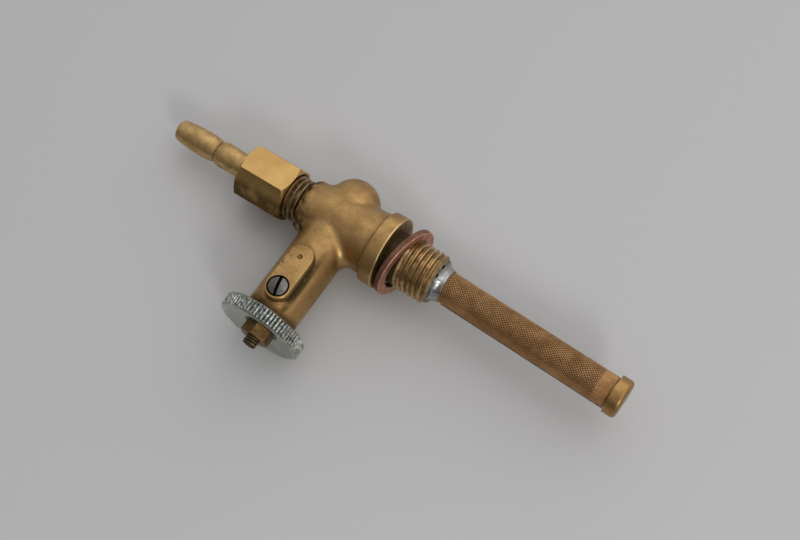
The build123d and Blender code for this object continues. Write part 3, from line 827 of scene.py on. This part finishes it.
rod_body = merged_copy("plunger_rod", "rod_body")
bpy.ops.object.mode_set(mode="EDIT")
bpy.ops.mesh.select_all(action="SELECT")
bpy.ops.mesh.bisect(
    plane_co=(ROD_CUT * MM, 0, 0), plane_no=(1, 0, 0), use_fill=True, clear_outer=True, threshold=MERGE,
)
bpy.ops.object.mode_set(mode="OBJECT")
bpy.ops.object.shade_smooth_by_angle(angle=THREAD_SHARP)

rod_thread = thread("rod_thread", ROD_R, ROD_PITCH, ROD_CUT, ROD_END, rod_fitted, FINE_THREAD_STEPS)
rod_thread.matrix_world = Matrix.Translation((0, 0, BARREL_Z * MM)) @ Matrix.Rotation(math.pi / 2, 4, "Y")
only(rod_thread)
bpy.ops.object.transform_apply(location=True, rotation=True, scale=True)
dress(rod_body, browned_steel_and_seam_shade, "knob", replaced="plunger_rod")
dress(rod_thread, rolled_steel_thread, "knob")

# %% [markdown]
# ## Broken edges on the nuts and the screw
# No real edge is perfectly sharp, and the thin bright line along a worn corner is what
# makes a nut look like metal. Merged copies of these nodes get the Bevel modifier, limited
# to edges that turn by more than a set angle.

# %% Nuts and screw
EDGE_TURN, BEVELLED_SHARP, EDGE_SEGMENTS = math.radians(28), math.radians(40), 2


def with_broken_edges(node_name, width_mm):
    """Copy of a CAD node with its edges worn round."""
    obj = merged_copy(node_name, "worn_" + node_name)
    broken = obj.modifiers.new("broken", "BEVEL")
    broken.width = width_mm * MM
    broken.segments = EDGE_SEGMENTS
    broken.limit_method = "ANGLE"
    broken.angle_limit = EDGE_TURN
    bpy.ops.object.modifier_apply(modifier=broken.name)
    even_shading(obj, BEVELLED_SHARP)
    return obj


union_nut = with_broken_edges("union_nut", width_mm=0.12)
dress(union_nut, milled_brass, "tap_body", replaced="union_nut")
rod_nut = with_broken_edges("rod_nut", width_mm=0.1)
dress(rod_nut, browned_brass, "knob", replaced="rod_nut")
guide_screw = with_broken_edges("guide_screw", width_mm=0.06)
dress(guide_screw, dark_steel, "tap_body", replaced="guide_screw")

# %% [markdown]
# ## Woven gauze
# The filter is a tube of plain-woven bronze wire. Each hoop goes over one lengthwise wire
# and under the next. One wavy hoop and one wavy wire are enough: a curve with a small
# bevel makes them thick, and copies half a wave out of step complete the weave. The
# hoops repeat with the Array modifier and the wires with Spin. The whole tube is made
# upright and then leant over as it was soldered.

# %% Gauze sizes
GAUZE_R, WIRE_R, WAVE = 4.0, 0.155, 0.09
GAUZE_FOOT, GAUZE_TOP = -2.8, 50.55  # along the tube, from the end of the tank thread
WIRES, HOOPS = 70, 124  # the real mesh is too fine to show, so it is as coarse as it needs to show
HOOP_PITCH = (GAUZE_TOP - GAUZE_FOOT) / HOOPS


def wire_from(obj):
    """Turn a chain of edges into a thin four-sided wire."""
    only(obj)
    bpy.ops.object.convert(target="CURVE")
    obj.data.bevel_depth = WIRE_R * MM
    obj.data.bevel_resolution = 0
    bpy.ops.object.convert(target="MESH")
    return bpy.context.active_object


print("hoop pitch:", round(HOOP_PITCH, 3), "mm")

# %% Hoops
def hoops_from(name, phase):
    """Every second hoop, woven over and under the lengthwise wires."""
    bpy.ops.object.select_all(action="DESELECT")
    bpy.ops.mesh.primitive_circle_add(
        vertices=WIRES, radius=GAUZE_R * MM, location=(0, 0, (GAUZE_FOOT + phase * HOOP_PITCH) * MM),
    )
    ring = bpy.context.active_object
    ring.name = name
    bpy.ops.object.transform_apply(location=True, rotation=True, scale=True)
    for index, vertex in enumerate(ring.data.vertices):
        side = WAVE if (index + phase) % 2 else -WAVE
        swell = 1 + side / GAUZE_R
        vertex.co.x *= swell
        vertex.co.y *= swell
    ring = wire_from(ring)
    array = ring.modifiers.new("repeat", "ARRAY")
    array.count = HOOPS // 2
    array.use_relative_offset = False
    array.use_constant_offset = True
    array.constant_offset_displace = (0, 0, 2 * HOOP_PITCH * MM)
    only(ring)
    bpy.ops.object.modifier_apply(modifier=array.name)
    return ring


hoops = [hoops_from("gauze_hoops", 0), hoops_from("gauze_hoops_between", 1)]
print("hoops:", HOOPS)

# %% Lengthwise wires
def wires_from(name, phase):
    """Every second lengthwise wire, woven against the hoops."""
    points = []
    for index in range(HOOPS):
        side = -WAVE if (index + phase) % 2 else WAVE
        points.append(((GAUZE_R + side) * MM, (GAUZE_FOOT + index * HOOP_PITCH) * MM))
    wire = wire_from(edge_chain(name, points))
    only(wire)
    bpy.ops.object.mode_set(mode="EDIT")
    bpy.ops.mesh.select_all(action="SELECT")
    if phase:
        turn = 2 * math.pi / WIRES
        bpy.ops.transform.rotate(value=turn, orient_axis="Z", center_override=(0, 0, 0))
        bpy.ops.mesh.select_all(action="SELECT")
    bpy.ops.mesh.spin(
        steps=WIRES // 2, dupli=True, angle=2 * math.pi, center=(0, 0, 0), axis=(0, 0, 1),
    )
    bpy.ops.mesh.select_all(action="SELECT")
    bpy.ops.mesh.remove_doubles(threshold=MERGE)
    bpy.ops.object.mode_set(mode="OBJECT")
    return wire


wires = [wires_from("gauze_wires", 0), wires_from("gauze_wires_between", 1)]
print("lengthwise wires:", WIRES)

# %% [markdown]
# ## Bronze wire
# Between the wires you look into the dark inside of the tube, so the wires get painted
# shade towards it. Over the cap's plug and where the gauze laps, something pale lies behind
# the gaps, so the painted shade is less there. The gaps are what lies nearest to the tube's
# axis, in coordinates that are turned back upright.

# %% Wire finish
FILTER_FOOT, FILTER_LEAN = (0, 0, THREAD_TOP), 2.1
CAP_PLUG, LAP_TURN, LAP_REACH = 3.8, math.radians(-5.0), 1.8
LAP_MIDDLE = (GAUZE_R * math.cos(LAP_TURN), GAUZE_R * math.sin(LAP_TURN), 0)


def gauze_shade(tree, place):
    """Painted shade in the gaps between the wires, less over the cap's plug and where the gauze laps."""
    upright = levelled(tree, place, FILTER_FOOT, FILTER_LEAN)
    # Painted shade for the dark inside of the tube.
    gaps = near(
        tree, upright, ORIGIN, FROM_Z_LINE, none_mm=GAUZE_R + 0.18, full_mm=GAUZE_R + 0.03, most=0.85,
    )
    plug = near(
        tree, upright, (0, 0, GAUZE_TOP), ALONG_Z, none_mm=CAP_PLUG + 0.3, full_mm=CAP_PLUG - 0.1,
    )
    lap = near(
        tree, upright, LAP_MIDDLE, FROM_Z_LINE, none_mm=LAP_REACH + 0.4, full_mm=LAP_REACH - 0.4, most=0.45,
    )
    return add(
        tree, "ShaderNodeMath", {0: gaps, 1: heaviest(tree, [plug, lap])},
        operation="SUBTRACT", use_clamp=True,
    ).outputs["Value"]


# Bronze wire: dull brown, with painted shade in the gaps between the wires.
bronze_wire = aged(
    "bronze_wire", "#CFA272", "#A67C50", patch_mm=4.0, roughness=(0.45, 0.55),
    grain_mm=0.3, grain_depth=0.0, grime_and_shade=gauze_shade,
)

# %% Put the gauze together
lean = Matrix.Translation(in_metres(FILTER_FOOT)) @ Matrix.Rotation(math.radians(FILTER_LEAN), 4, "Y")
only(hoops[0])
for piece in hoops + wires:
    piece.select_set(True)
bpy.ops.object.join()
gauze = bpy.context.active_object
gauze.name = "woven_gauze"
gauze.matrix_world = lean
bpy.ops.object.transform_apply(location=True, rotation=True, scale=True)
bpy.ops.object.shade_smooth()
dress(gauze, bronze_wire, "tap_body", replaced="filter_gauze")

# %% [markdown]
# ## Gauze seam
# The gauze was rolled from a flat piece, and its lapped edge runs down one side as a
# slightly raised band of folded wire. A thin box, bevelled and leant with the tube, is
# enough for it, and its dark finish is painted shade along the lap.

# %% Seam
SEAM_WIDTH, SEAM_THICKNESS, SEAM_LIFT, SEAM_FOOT = 1.1, 0.16, 4.34, 3.6
SEAM_TURN, SEAM_ROUND, SEAM_SEGMENTS = math.radians(22.5), 0.07, 2
SEAM_LENGTH = GAUZE_TOP - SEAM_FOOT

bpy.ops.object.select_all(action="DESELECT")
bpy.ops.mesh.primitive_cube_add(size=1)
seam = bpy.context.active_object
seam.name = "gauze_seam"
bpy.ops.object.mode_set(mode="EDIT")
bpy.ops.mesh.select_all(action="SELECT")
bpy.ops.transform.resize(value=in_metres((SEAM_THICKNESS, SEAM_WIDTH, SEAM_LENGTH)))
bpy.ops.transform.translate(value=in_metres((SEAM_LIFT, 0, SEAM_FOOT + SEAM_LENGTH / 2)))
bpy.ops.mesh.select_all(action="SELECT")
bpy.ops.mesh.bevel(offset=SEAM_ROUND * MM, segments=SEAM_SEGMENTS)
bpy.ops.object.mode_set(mode="OBJECT")
seam.matrix_world = lean @ Matrix.Rotation(SEAM_TURN, 4, "Z")
bpy.ops.object.transform_apply(location=True, rotation=True, scale=True)
bpy.ops.object.shade_smooth_by_angle(angle=BEVELLED_SHARP)
# The dark finish on the seam is painted shade along the lap.
dress(seam, browned_steel_and_seam_shade, "tap_body")

# %% [markdown]
# ## Solder
# The solder that holds the gauze ran unevenly and stiffened in lumps. A merged copy of
# the CAD fillet is subdivided, and smooth noise pushes its points out, in and up. Points
# close to the gauze stay where they are, so that the solder still grips it.

# %% Solder
LUMP_MM, LUMP_HEIGHT, LUMP_SIDEWAYS = 2.2, 0.24, 0.6
SOLDER_CUTS, SOLDER_GRIP_R = 4, 4.6

solder = merged_copy("filter_solder", "solder_fillet")
bpy.ops.object.mode_set(mode="EDIT")
bpy.ops.mesh.select_all(action="SELECT")
bpy.ops.mesh.tris_convert_to_quads()
bpy.ops.mesh.subdivide(number_cuts=SOLDER_CUTS, smoothness=0.0)
bpy.ops.object.mode_set(mode="OBJECT")
for vertex in solder.data.vertices:
    out = Vector((vertex.co.x, vertex.co.y, 0))
    lump = noise.noise(vertex.co / (LUMP_MM * MM)) * LUMP_HEIGHT * MM
    if out.length > SOLDER_GRIP_R * MM:
        vertex.co += out.normalized() * lump * LUMP_SIDEWAYS
        vertex.co.z += max(0.0, lump)
bpy.ops.object.shade_smooth()
dress(solder, soft_solder, "tap_body", replaced="filter_solder")

# %% [markdown]
# ## Table
# The tap lies on a pale table. In the tap's own frame the table is a plane behind it, close
# against the knob's rim, the washer and the union nut. It is a stage piece. Its back is
# see-through and it lets lamps shine through, so that the tap can be looked at from there.

# %% Table
KNOB_REST, NUT_REST = (33.0, 11.55, BARREL_Z), (0.0, 8.1, -45.0)
WASHER_REST = (0.0, 10.6, WASHER_MIDDLE[2])
TABLE_SIZE = 1.6  # metres, so that its edges stay out of the picture

rests = [Vector(point) * MM for point in (KNOB_REST, WASHER_REST, NUT_REST)]
facing = (rests[1] - rests[0]).cross(rests[2] - rests[0]).normalized()
if facing.y > 0:
    facing.negate()
middle = sum(rests, Vector()) / len(rests)
bpy.ops.object.select_all(action="DESELECT")
bpy.ops.mesh.primitive_plane_add(size=TABLE_SIZE)
table = bpy.context.active_object
table.name = "table"
table.matrix_world = Matrix.Translation(middle) @ facing.to_track_quat("Z", "Y").to_matrix().to_4x4()
bpy.ops.object.transform_apply(location=True, rotation=True, scale=True)
print("table faces", [round(part, 3) for part in facing])

# %% Painted board
# Painted board: pale grey and matte, see-through from behind and for rays on their way to a lamp.
BOARD_COLOUR, BOARD_ROUGHNESS = "#BDBCBB", 0.6

painted_board = bpy.data.materials.new("painted_board")
painted_board.use_nodes = True
paint_tree = painted_board.node_tree
top = paint_tree.nodes["Principled BSDF"]
top.inputs["Base Color"].default_value = linear(BOARD_COLOUR)
top.inputs["Roughness"].default_value = BOARD_ROUGHNESS
behind = add(paint_tree, "ShaderNodeNewGeometry").outputs["Backfacing"]
shadow = add(paint_tree, "ShaderNodeLightPath").outputs["Is Shadow Ray"]
seen_through = add(paint_tree, "ShaderNodeMath", {0: behind, 1: shadow}, operation="MAXIMUM").outputs["Value"]
clear = add(paint_tree, "ShaderNodeBsdfTransparent").outputs["BSDF"]
surface = add(paint_tree, "ShaderNodeMixShader", {0: seen_through, 1: top.outputs["BSDF"], 2: clear})
paint_tree.links.new(surface.outputs["Shader"], paint_tree.nodes["Material Output"].inputs["Surface"])
table.data.materials.append(painted_board)
print("table painted", BOARD_COLOUR)

# %% [markdown]
# ## Camera
# The camera's place and turn were found by fitting the tap's known sizes to the picture.
# They are kept as a point and three directions, and a camera's matrix is just those four,
# because Blender's camera looks along its own -Z with +Y up.

# %% Camera
EYE = Vector((94.27, -262.49, 77.89)) * MM
RIGHT = Vector((-0.55549, 0.03967, 0.83058))
DOWN = Vector((0.76794, 0.40756, 0.49413))
AHEAD = Vector((-0.31890, 0.91232, -0.25686))
FOCAL_LENGTH, SENSOR_WIDTH, NEAREST = 51.57, 36.0, 10.0

camera_data = bpy.data.cameras.new("camera")
camera_data.lens = FOCAL_LENGTH
camera_data.sensor_width = SENSOR_WIDTH
camera_data.clip_start = NEAREST * MM
camera = bpy.data.objects.new("camera", camera_data)
camera.matrix_world = Matrix((
    (RIGHT.x, -DOWN.x, -AHEAD.x, EYE.x),
    (RIGHT.y, -DOWN.y, -AHEAD.y, EYE.y),
    (RIGHT.z, -DOWN.z, -AHEAD.z, EYE.z),
    (0, 0, 0, 1),
))
bpy.context.scene.collection.objects.link(camera)
bpy.context.scene.camera = camera
print("camera at", [round(part, 3) for part in EYE])

# %% [markdown]
# ## Light
# The light is a soft window at the upper right, a wide fill from the front, a small lamp at
# the lower right that gives crisp glints and a faint second shadow, and a lamp behind the
# table for the far side. Directions are given as the camera sees them.

# %% Lamps
def lamp(name, direction, distance, size, power):
    """Square soft white lamp that shines on the tap from a direction, in metres and watts."""
    data = bpy.data.lights.new(name, "AREA")
    data.shape = "SQUARE"
    data.size = size
    data.energy = power
    obj = bpy.data.objects.new(name, data)
    obj.location = direction.normalized() * distance
    obj.rotation_euler = (-direction).to_track_quat("-Z", "Y").to_euler()
    bpy.context.scene.collection.objects.link(obj)
    print("lamp:", name, power, "W")


lamp("window", RIGHT * 0.45 - DOWN * 0.8 - AHEAD * 0.6, distance=0.8, size=0.9, power=1.42)
lamp("fill", RIGHT * 0.4 - AHEAD, distance=1.0, size=0.9, power=1.02)
lamp("room_lamp", RIGHT * 0.3 + DOWN * 0.68 - AHEAD, distance=0.75, size=0.18, power=1.3)
lamp("behind", AHEAD - DOWN * 0.3, distance=1.0, size=0.9, power=1.5)

# %% [markdown]
# ## The room that the metal mirrors
# Polished metal shows what is round it. The world goes from light on the window's side to dark
# on the other, because without a dark side brass looks like yellow paint. One dot product with
# the window's direction says how far round the room each ray points.

# %% Room
WINDOW_SIDE = (RIGHT * 0.4 - DOWN * 0.85 - AHEAD * 0.35).normalized()
DARK_SIDE, LIGHT_SIDE = -0.7, 0.8  # where the room is all dark and all light, as a dot product
DARK_COLOUR, LIGHT_COLOUR, ROOM_STRENGTH = "#454340", "#EDEDEF", 0.85

world = bpy.data.worlds.new("room")
world.use_nodes = True
bpy.context.scene.world = world
room = world.node_tree
where = add(room, "ShaderNodeTexCoord").outputs["Generated"]
towards = add(
    room, "ShaderNodeVectorMath", {0: where}, {1: WINDOW_SIDE}, operation="DOT_PRODUCT",
).outputs["Value"]
bright = add(
    room, "ShaderNodeMapRange", {"Value": towards}, {"From Min": DARK_SIDE, "From Max": LIGHT_SIDE},
).outputs["Result"]
shade = add(
    room, "ShaderNodeMix", {FACTOR: bright},
    {COLOUR_A: linear(DARK_COLOUR), COLOUR_B: linear(LIGHT_COLOUR)}, data_type="RGBA",
).outputs[COLOUR_OUT]
background = room.nodes["Background"]
background.inputs["Strength"].default_value = ROOM_STRENGTH
room.links.new(shade, background.inputs["Color"])
bpy.context.scene.view_settings.view_transform = "Standard"
print("room from", DARK_COLOUR, "to", LIGHT_COLOUR)
